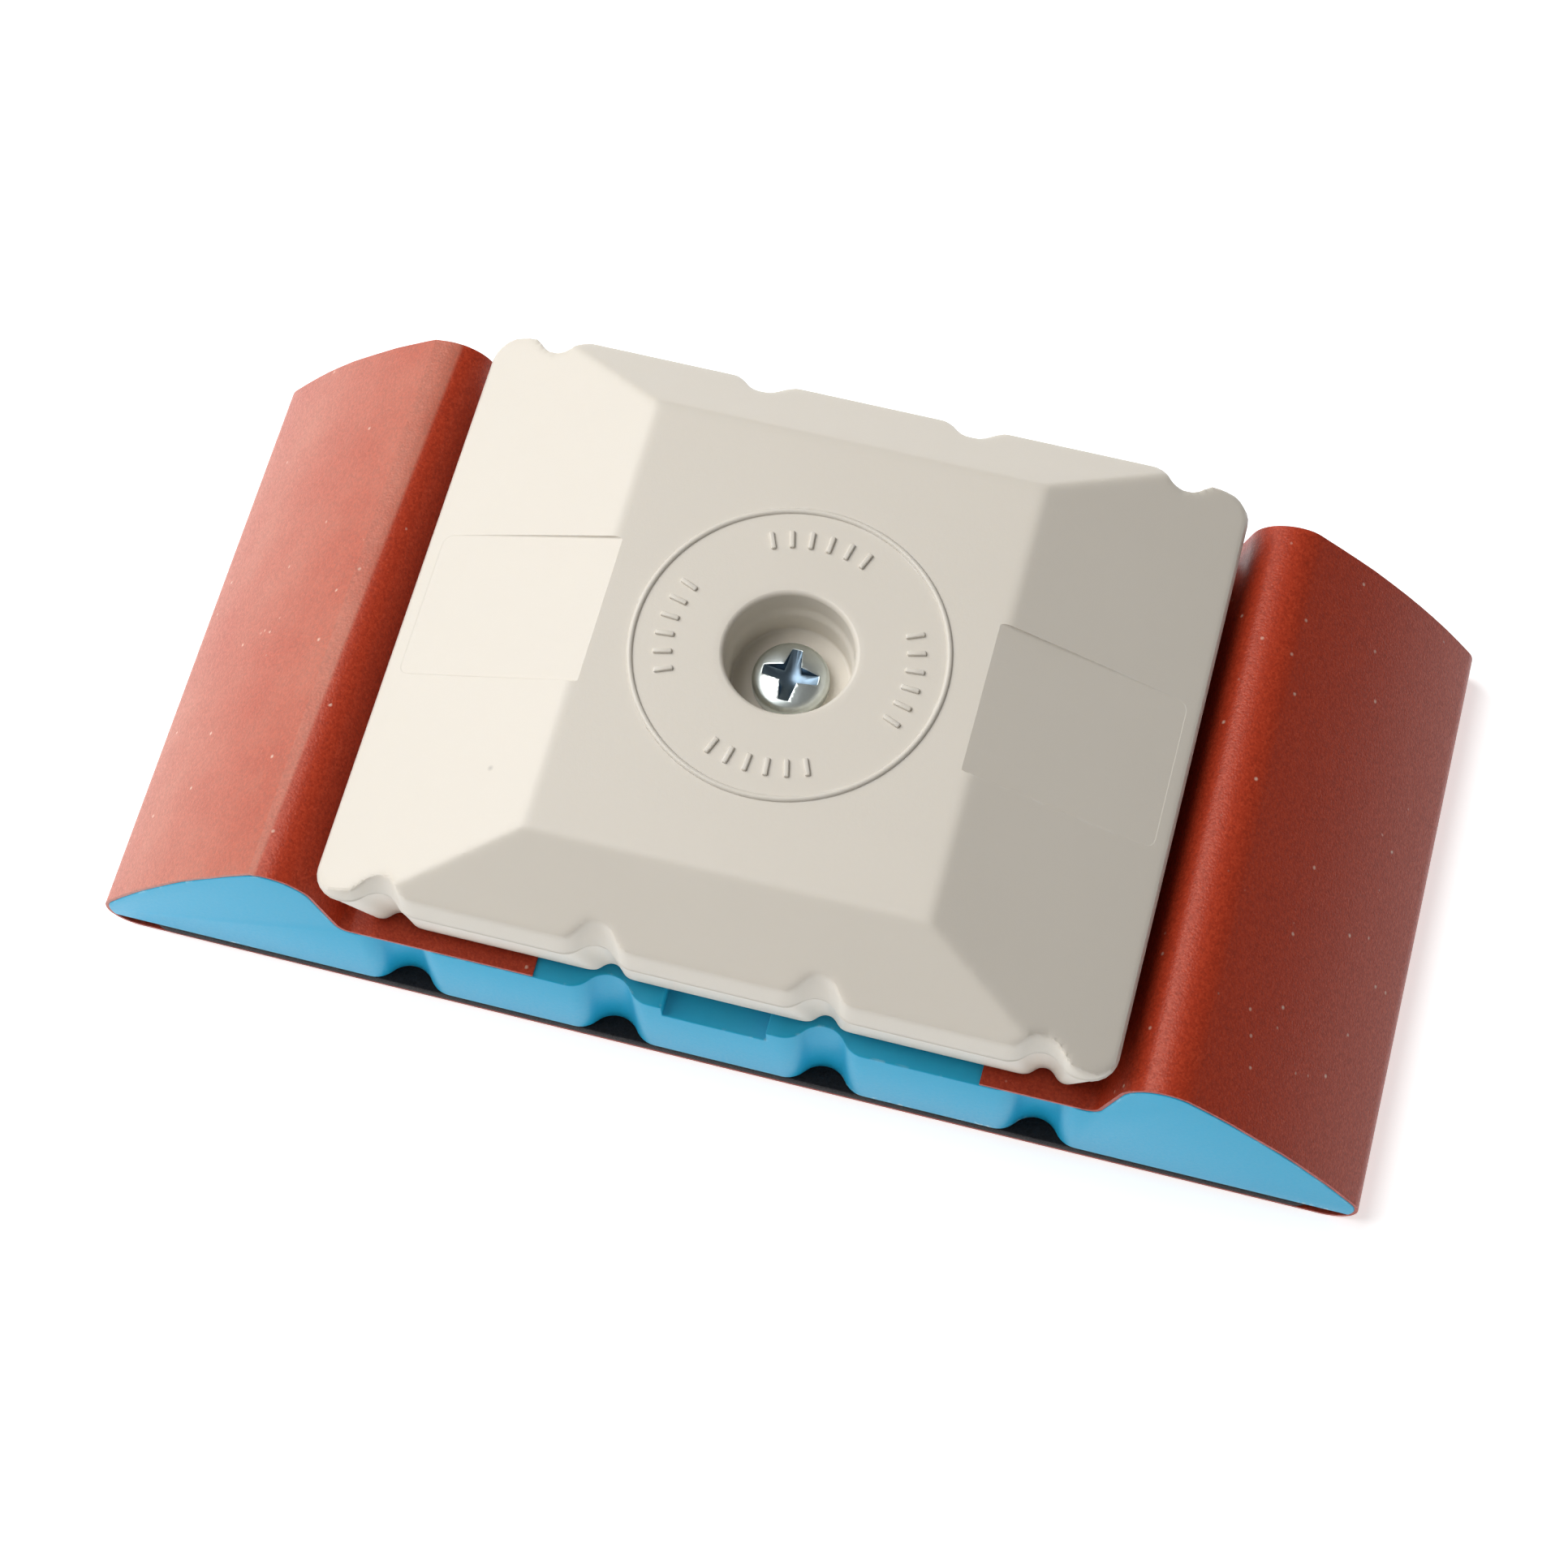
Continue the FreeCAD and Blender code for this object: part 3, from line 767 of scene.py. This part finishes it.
class SANDINGBLOCK_OT_base(bpy.types.Operator):
    """Blue moulded base with two wings, a recess, grooves and two tongue slots"""

    bl_idname = "sanding_block.base"
    bl_label = "Base"

    def execute(self, context):
        size = sizes()
        half_y, corner = BASE_HIGH.y, 0.9 * MM
        strokes = wing_strokes(0.0)
        pen = Pen("Base", (0, -half_y - MM, SHEET_THICK), X_AXIS, Z_AXIS)
        pen.draw(strokes + strokes[::-1])
        base = pen.raise_solid(Y_AXIS * (2 * half_y + 2 * MM))
        plan = plan_outline(
            "Base_plan", BASE_HIGH.x + MM, half_y, corner,
            size.base_groove_width, size.base_groove_depth, SOLE_Z,
        )
        boolean(base, plan.raise_solid(Z_AXIS * (CREST_Z - SOLE_Z + MM)), "INTERSECT")
        self.cut_openings(base)
        outward_normals(base)
        apply_modifier(
            base, "BEVEL", width=size.base_edge, segments=3, limit_method="ANGLE",
            angle_limit=math.radians(38),
        )
        smooth(base, 30)
        finish_piece(base, "block", [base_plastic()], ["base"])
        return {"FINISHED"}

    def cut_openings(self, base):
        slot_half, slot_depth, slot_end = 5.7 * MM, 2.2 * MM, 18.5 * MM
        slot = block(
            "Slot", (-slot_half, -BASE_HIGH.y - MM, FLOOR_Z - slot_depth),
            (slot_half, -slot_end, FLOOR_Z + MM),
        )
        boolean(base, copied(slot, "Back_slot", (1, -1, 1)))
        boolean(base, slot)
        nut_play = 0.06 * MM
        boolean(base, tube("Nut_pocket", NUT_HIGH.x + nut_play, SOLE_Z - MM, NUT_HIGH.z, 6))
        boolean(base, tube("Screw_hole", SCREW_HOLE_RADIUS, SOLE_Z, FLOOR_Z + MM, 48))


class SANDINGBLOCK_OT_sole_pad(bpy.types.Operator):
    """Thin black felt glued under the sole"""

    bl_idname = "sanding_block.sole_pad"
    bl_label = "Sole pad"

    def execute(self, context):
        corner, edge = 3.0 * MM, 0.25 * MM
        pad = block("Sole_pad", PAD_LOW, PAD_HIGH)
        edit(pad, "EDGE")
        pick("edges", lambda e: abs(e.verts[0].co.z - e.verts[1].co.z) > 1 * MM)
        bpy.ops.mesh.bevel(offset=corner, segments=8, affect="EDGES")
        leave_edit()
        apply_modifier(pad, "BEVEL", width=edge, segments=2, limit_method="ANGLE")
        smooth(pad, 40)
        finish_piece(pad, "block", [sole_felt()], ["sole_pad"])
        return {"FINISHED"}


class SANDINGBLOCK_OT_sheet(bpy.types.Operator):
    """Abrasive sheet wrapped under the sole and over both wings"""

    bl_idname = "sanding_block.sheet"
    bl_label = "Abrasive sheet"

    def execute(self, context):
        left_end, right_end = -19.8 * MM, 28.7 * MM
        ripple, slack = 0.09 * MM, 0.02 * MM
        half_y = SHEET_HIGH.y - ripple
        out = [self.reversed_turn(stroke) for stroke in wing_strokes(SHEET_THICK)]
        floor = out[-1][0]
        crest = 3
        strokes = [(floor - right_end,)] + out[-2::-1]
        strokes += out[:crest] + self.creased(*out[crest]) + out[crest + 1:-1]
        strokes.append((floor + left_end,))
        pen = Pen("Abrasive_sheet", (right_end, -half_y, FLOOR_Z + SHEET_THICK), X_AXIS, Z_AXIS)
        pen.draw(strokes)
        weld(1e-7)
        extrude(Y_AXIS * 2 * half_y)
        leave_edit()
        sheet = pen.piece
        self.face_outward(sheet)
        apply_modifier(
            sheet, "SOLIDIFY", thickness=SHEET_THICK - slack, offset=-1.0, use_even_offset=True,
            material_offset=1, material_offset_rim=1,
        )
        self.fray(sheet, ripple)
        smooth(sheet, 40)
        finish_piece(sheet, "block", [grit_coat(), paper_backing()],
                     ["abrasive_sheet"])
        return {"FINISHED"}

    def reversed_turn(self, stroke):
        return stroke if len(stroke) == 1 else (stroke[0], -stroke[1], stroke[2])

    def creased(self, radius, degrees, steps):
        """The bend over a crest, started by a sharp crease in the paper."""
        crease, crease_radius = math.copysign(24.0, degrees), 0.35 * MM
        run = (radius - crease_radius) * math.tan(math.radians(abs(crease)) / 2)
        return [(run,), (crease_radius, crease, 4), (run,), (radius, degrees - crease, steps)]

    def face_outward(self, sheet):
        edit(sheet, "FACE")
        bpy.ops.mesh.normals_make_consistent(inside=False)
        sole = [f for f in bmesh.from_edit_mesh(sheet.data).faces if f.calc_center_median().z < MM]
        if sole[0].normal.z > 0:
            bpy.ops.mesh.select_all(action="SELECT")
            bpy.ops.mesh.flip_normals()
        leave_edit()

    def fray(self, sheet, ripple):
        """Slight waviness of the cut edges."""
        group = sheet.vertex_groups.new(name="Cut_edges")
        group.add([v.index for v in sheet.data.vertices], 1.0, "REPLACE")
        waves = bpy.data.textures.new("Cut_waves", "CLOUDS")
        waves.noise_scale = 4 * MM
        apply_modifier(
            sheet, "DISPLACE", texture=waves, strength=2 * ripple, mid_level=0.5, direction="Y",
            texture_coords="LOCAL", vertex_group=group.name,
        )


class SANDINGBLOCK_OT_cover(bpy.types.Operator):
    """Moulded cover with four slopes, grooves, finger pockets, screw well and raised ring"""

    bl_idname = "sanding_block.cover"
    bl_label = "Clamp cover"

    def execute(self, context):
        cover = self.moulding()
        for side in (-1, 1):
            boolean(cover, self.pocket(side))
        for side in (-1, 1):
            boolean(cover, self.tongue(side), "UNION")
        boolean(cover, self.well())
        boolean(cover, tube("Hole", SCREW_HOLE_RADIUS, COVER_LOW.z - MM, WELL_FLOOR + MM, 48))
        outward_normals(cover)
        smooth(cover, 14)
        cover = joined([cover, self.flash(), self.ring()] + self.dashes(), "Clamp_cover")
        finish_piece(cover, "cover", [cover_plastic()], ["clamp_cover"])
        return {"FINISHED"}

    def level(self, z, grow=0.0):
        """Outline of the moulding at height z, tapering both ways from the parting level."""
        size = sizes()
        half_x, half_y, corner = PARTING_HALF_X, PARTING_HALF_Y, size.cover_corner
        width, depth = size.cover_groove_width, size.cover_groove_depth
        foot_inset_x, foot_inset_y = 4.1 * MM, 3.1 * MM
        corner_loss, width_loss, depth_loss = 2.0 * MM, 3.2 * MM, 0.5 * MM
        wall_lean, groove_lean = math.radians(4.4), math.radians(2.8)
        if z <= PARTING:
            share = (PARTING - z) / (PARTING - COVER_FOOT)
            half_x -= foot_inset_x * share
            half_y -= foot_inset_y * share
            corner -= corner_loss * share
            width -= width_loss * share
            depth -= depth_loss * share
        else:
            half_y -= (z - PARTING) * math.tan(wall_lean)
            depth += (z - PARTING) * math.tan(groove_lean)
        pen = plan_outline("Level", half_x + grow, half_y + grow, corner, width, depth, z)
        weld()
        leave_edit()
        return pen.piece

    def skin(self, levels, name, closed=False):
        """Walls through a stack of outlines, capped at both ends or closed on themselves."""
        first, last = levels[0], levels[-1]
        ends = (first.data.vertices[0].co.z, last.data.vertices[0].co.z)
        shell = joined(levels, name)
        edit(shell, "EDGE")
        bpy.ops.mesh.bridge_edge_loops(type="CLOSED" if closed else "SINGLE")
        if not closed:
            for z in ends:
                pick("edges", lambda e: all(abs(v.co.z - z) < 1e-6 for v in e.verts))
                bpy.ops.mesh.edge_face_add()
        leave_edit()
        outward_normals(shell)
        return shell

    def moulding(self):
        cover = self.skin(
            [self.level(z) for z in (COVER_FOOT, PARTING, COVER_TOP + MM)], "Clamp_cover"
        )
        slopes = [
            ((side * PARTING_HALF_X, 0, SIDE_FOOT), (side * TOP_HALF_X, 0, COVER_TOP))
            for side in (-1, 1)
        ] + [
            ((0, side * FRONT_FOOT_Y, FRONT_FOOT), (0, side * TOP_HALF_Y, COVER_TOP))
            for side in (-1, 1)
        ]
        for foot, top in slopes:
            foot, top = Vector(foot), Vector(top)
            run = top - foot
            level = X_AXIS if abs(foot.y) > abs(foot.x) else Y_AXIS
            normal = run.cross(level).normalized()
            self.bisect(cover, top, normal if normal.z > 0 else -normal)
        self.bisect(cover, Vector((0, 0, COVER_TOP)), Z_AXIS)
        outward_normals(cover)
        apply_modifier(cover, "REMESH", mode="VOXEL", voxel_size=0.36 * MM, adaptivity=0.0)
        apply_modifier(cover, "SMOOTH", factor=0.5, iterations=9)
        apply_modifier(cover, "DECIMATE", ratio=0.3)
        return cover

    def bisect(self, piece, place, normal):
        edit(piece)
        bpy.ops.mesh.bisect(
            plane_co=place, plane_no=normal, use_fill=True, clear_outer=True, threshold=1e-7
        )
        leave_edit()

    def pocket(self, side):
        """Cutter of one shallow finger pocket, whose floor rises to the slope at its outer end."""
        depth, half, rim, above = 0.5 * MM, 8.65 * MM, 1.6 * MM, 9.0 * MM
        corner, foot, fade = 1.2 * MM, 0.24 * MM, 0.47 * MM
        run, fall = PARTING_HALF_X - TOP_HALF_X, COVER_TOP - SIDE_FOOT
        cutter = block(
            "Pocket", (-above, -half, -depth), (math.hypot(run, fall) - rim, half, above)
        )
        edit(cutter, "EDGE")
        pick("edges", lambda e: abs(e.verts[0].co.x - e.verts[1].co.x) < 1e-6
             and abs(e.verts[0].co.y - e.verts[1].co.y) < 1e-6 and e.verts[0].co.x > 0)
        bpy.ops.mesh.bevel(offset=corner, segments=4, affect="EDGES")
        pick("edges", lambda e: max(v.co.z for v in e.verts) < 0)
        bpy.ops.mesh.bevel(offset=foot, segments=3, affect="EDGES")
        pick("verts", lambda v: v.co.x > rim and v.co.z < 0)
        bpy.ops.transform.translate(value=(0, 0, fade))
        bpy.ops.mesh.select_all(action="SELECT")
        turn_about("Y", -math.atan2(fall, run))
        bpy.ops.transform.translate(value=(TOP_HALF_X, 0, COVER_TOP))
        leave_edit()
        if side < 0:
            edit(cutter)
            bpy.ops.transform.resize(value=(-1, 1, 1), center_override=(0, 0, 0))
            leave_edit()
        outward_normals(cutter)
        return cutter

    def tongue(self, side):
        half, inner_y, outer_y = 5.2 * MM, 20 * MM, 30 * MM
        near, far = sorted((side * inner_y, side * outer_y))
        return block("Tongue", (-half, near, COVER_LOW.z), (half, far, COVER_FOOT + 2 * MM))

    def well(self):
        """Round cutter with a rolled lip, a soft swell over the seat and a fillet at the floor."""
        lip, corner, lean = 0.6 * MM, 0.4 * MM, 25
        seat_radius, well_radius, seat_depth = 6.4 * MM, 6.8 * MM, 2.8 * MM
        swell = (well_radius - seat_radius) / (2 - 2 * math.cos(math.radians(lean)))
        swell_height = 2 * swell * math.sin(math.radians(lean))
        pen = Pen("Well", (0, 0, WELL_FLOOR), X_AXIS, Z_AXIS)
        pen.draw([
            (seat_radius - corner,), (corner, 90, 5), (seat_depth - corner,), (swell, -lean, 5),
            (swell, lean, 5), (COVER_TOP - WELL_FLOOR - seat_depth - swell_height - lip,),
            (lip, -90, 6), (lip,),
        ])
        pen.heading = math.pi / 2
        pen.go(2 * MM)
        pen.heading = math.pi
        pen.go(pen.place.x)
        return pen.revolve(72)

    def flash(self):
        """Thin ridge left by the mould's parting line all round the cover."""
        half, root, sunk = 0.07 * MM, 0.55 * MM, -0.3 * MM
        ridge = self.skin([
            self.level(PARTING - root, sunk), self.level(PARTING - half, FLASH_PROUD),
            self.level(PARTING + half, FLASH_PROUD), self.level(PARTING + root, sunk),
        ], "Flash", closed=True)
        smooth(ridge, 60)
        return ridge

    def ring(self):
        radius, bead = 16.5 * MM, 0.34 * MM
        deselect_all()
        bpy.ops.mesh.primitive_torus_add(
            major_radius=radius, minor_radius=bead, major_segments=160, minor_segments=12,
            location=(0, 0, COVER_HIGH.z - bead),
        )
        ring = bpy.context.active_object
        bpy.ops.object.transform_apply(location=True, rotation=True, scale=True)
        smooth(ring, 60)
        return ring

    def dashes(self):
        """Four groups of short raised dashes inside the ring."""
        radius, half_length, half_width = 13.1 * MM, 1.0 * MM, 0.275 * MM
        count, step = 6, math.radians(9)
        made = []
        for group in range(4):
            for k in range(count):
                dash = block(
                    "Dash", (radius - half_length, -half_width, COVER_TOP - 0.2 * MM),
                    (radius + half_length, half_width, COVER_HIGH.z),
                )
                apply_modifier(dash, "BEVEL", width=0.15 * MM, segments=3, limit_method="ANGLE")
                edit(dash)
                turn = math.pi / 2 * group + step * (k - (count - 1) / 2)
                turn_about("Z", -turn)
                leave_edit()
                smooth(dash, 50)
                made.append(dash)
        return made


class SANDINGBLOCK_OT_screw(bpy.types.Operator):
    """Pan-head screw with a cross recess"""

    bl_idname = "sanding_block.screw"
    bl_label = "Clamp screw"

    def execute(self, context):
        head, shank, chamfer, rim = SCREW_HIGH.x, 1.97 * MM, 0.6 * MM, 1.1 * MM
        top_z = SCREW_HIGH.z
        edge_radius = 0.9 * MM
        pen = Pen("Clamp_screw", (0, 0, SCREW_LOW.z), X_AXIS, Z_AXIS)
        pen.go(shank - chamfer)
        pen.heading = math.pi / 4
        pen.go(chamfer * math.sqrt(2))
        pen.heading = math.pi / 2
        pen.go(WELL_FLOOR - pen.place.z)
        pen.heading = 0.0
        pen.go(head - shank)
        pen.heading = math.pi / 2
        pen.go(rim)
        pen.turn(edge_radius, 62, 6)
        inner = pen.place.x
        left = top_z - pen.place.z
        dome = (inner ** 2 + left ** 2) / (2 * left)
        start = math.asin(inner / dome)
        pen.heading = math.pi - start
        pen.turn(dome, math.degrees(start), 8)
        screw = pen.revolve(64)
        screw.data.materials.append(zinc_plate())
        # Second material: the same zinc plate darkened as painted shade for the cross recess.
        screw.data.materials.append(zinc_plate("Zinc_recess", colours().recess))
        boolean(screw, self.cross(top_z))
        apply_modifier(
            screw, "BEVEL", width=0.09 * MM, segments=2, limit_method="ANGLE",
            angle_limit=math.radians(40),
        )
        smooth(screw, 40)
        recess_floor, skin = top_z - 2 * MM, 0.06 * MM
        # Faces down in the cross recess take the second material, the darker zinc of painted shade.
        for face in screw.data.polygons:
            across = face.center.xy.length
            crown = top_z - dome + math.sqrt(dome ** 2 - min(across, inner) ** 2)
            if across < inner and recess_floor < face.center.z < crown - skin:
                face.material_index = 1
        finish_piece(screw, "screw", [], ["clamp_screw"])
        return {"FINISHED"}

    def cross(self, top_z):
        """Cutter of the driver recess: two crossed arms kept inside a taper."""
        half_width, middle, mouth, tip, depth = 0.4 * MM, 1.1 * MM, 3.7 * MM, 0.95 * MM, 1.9 * MM
        low = top_z - depth
        pen = Pen("Arm", (-mouth, -half_width, low), X_AXIS, Y_AXIS)
        lean = math.degrees(math.atan2(middle - half_width, mouth))
        for heading in (-lean, lean, 90, 180 - lean, 180 + lean):
            pen.heading = math.radians(heading)
            pen.go(2 * half_width if heading == 90 else math.hypot(mouth, middle - half_width))
        arm = pen.raise_solid(Z_AXIS * (depth + MM))
        other = copied(arm, "Other_arm")
        edit(other)
        turn_about("Z", math.pi / 2)
        leave_edit()
        boolean(arm, other, "UNION")
        spread = (mouth - tip) / depth
        boolean(arm, tube("Taper", tip, low, top_z + MM, 48, mouth + spread * MM), "INTERSECT")
        return arm


class SANDINGBLOCK_OT_nut(bpy.types.Operator):
    """Hexagon nut held in the base"""

    bl_idname = "sanding_block.nut"
    bl_label = "Captive nut"

    def execute(self, context):
        nut = tube("Captive_nut", NUT_HIGH.x, NUT_LOW.z, NUT_HIGH.z, 6)
        edit(nut)
        turn_about("Z", math.pi / 6)
        leave_edit()
        boolean(nut, tube("Bore", 2.03 * MM, NUT_LOW.z - MM, NUT_HIGH.z + MM, 48))
        apply_modifier(nut, "BEVEL", width=0.2 * MM, segments=2, limit_method="ANGLE")
        smooth(nut, 40)
        finish_piece(nut, "block", [zinc_plate()], ["captive_nut"])
        return {"FINISHED"}


class SANDINGBLOCK_OT_stage(bpy.types.Operator):
    """Pale floor, soft light from the left and the camera"""

    bl_idname = "sanding_block.stage"
    bl_label = "Stage"

    def execute(self, context):
        deselect_all()
        bpy.ops.mesh.primitive_plane_add(size=6, location=(0, 0, 0))
        floor = context.active_object
        floor.name = "Floor"
        floor.data.materials.append(studio_floor())
        self.light("Key", (-0.56, 0.06, 0.83), 0.9, look().key_power)
        self.light("Window", (-0.76, 0.36, 0.48), 0.5, look().window_power)
        self.light("Fill", (0.15, -0.85, 0.45), 0.8, look().fill_power)
        world = bpy.data.worlds.new("Studio")
        context.scene.world = world
        world.use_nodes = True
        background = world.node_tree.nodes["Background"]
        warm_white, ambient = (1.0, 0.985, 0.96, 1.0), 0.16
        background.inputs["Color"].default_value = warm_white
        background.inputs["Strength"].default_value = ambient
        context.scene.view_settings.view_transform = "Standard"
        self.camera(context)
        return {"FINISHED"}

    def light(self, name, towards, size, power):
        """Round lamp a metre from the origin, aimed at it."""
        lamp = bpy.data.lights.new(name, "AREA")
        lamp.shape = "DISK"
        lamp.size = size
        lamp.energy = power
        holder = bpy.data.objects.new(name, lamp)
        bpy.context.scene.collection.objects.link(holder)
        direction = Vector(towards).normalized()
        holder.location = direction
        holder.rotation_mode = "QUATERNION"
        holder.rotation_quaternion = direction.to_track_quat("Z", "Y")

    def camera(self, context):
        azimuth, elevation, roll = math.radians(18.0), math.radians(66.0), math.radians(-3.4)
        distance = 377.5 * MM
        aim = Vector((0.3, -5.3, 15.0)) * MM
        back = Vector((
            math.sin(azimuth) * math.cos(elevation),
            -math.cos(azimuth) * math.cos(elevation),
            math.sin(elevation),
        ))
        data = bpy.data.cameras.new("Camera")
        data.lens = 80.3
        data.sensor_width = 36
        data.clip_start, data.clip_end = 0.01, 20
        camera = bpy.data.objects.new("Camera", data)
        context.scene.collection.objects.link(camera)
        camera.location = aim + back * distance
        camera.rotation_mode = "QUATERNION"
        level = back.to_track_quat("Z", "Y")
        camera.rotation_quaternion = level @ Quaternion((0, 0, 1), roll)
        context.scene.camera = camera


class SANDINGBLOCK_PT_panel(bpy.types.Panel):
    """Lists the sizes, the colours and the pieces"""

    bl_idname = "SANDINGBLOCK_PT_panel"
    bl_label = "Sanding Block"
    bl_space_type = "VIEW_3D"
    bl_region_type = "UI"
    bl_category = "Sanding Block"

    def draw(self, context):
        for group in (sizes(), colours(), look()):
            for name in group.bl_rna.properties.keys():
                if name not in ("rna_type", "name"):
                    self.layout.prop(group, name)
        for operator in OPERATORS:
            self.layout.operator(operator.bl_idname)


PROPERTY_GROUPS = (SandingBlockSizes, SandingBlockColours, SandingBlockLook)
OPERATORS = (
    SANDINGBLOCK_OT_base, SANDINGBLOCK_OT_sole_pad, SANDINGBLOCK_OT_sheet, SANDINGBLOCK_OT_cover,
    SANDINGBLOCK_OT_screw, SANDINGBLOCK_OT_nut, SANDINGBLOCK_OT_stage,
)
CLASSES = PROPERTY_GROUPS + OPERATORS + (SANDINGBLOCK_PT_panel,)


def register():
    for cls in CLASSES:
        bpy.utils.register_class(cls)
    scene = bpy.types.Scene
    scene.sanding_block_sizes = PointerProperty(type=SandingBlockSizes)
    scene.sanding_block_colours = PointerProperty(type=SandingBlockColours)
    scene.sanding_block_look = PointerProperty(type=SandingBlockLook)


def unregister():
    scene = bpy.types.Scene
    del scene.sanding_block_look
    del scene.sanding_block_colours
    del scene.sanding_block_sizes
    for cls in reversed(CLASSES):
        bpy.utils.unregister_class(cls)


def main():
    register()
    for operator in OPERATORS:
        group, _, name = operator.bl_idname.partition(".")
        getattr(getattr(bpy.ops, group), name)()


if __name__ == "__main__":
    main()
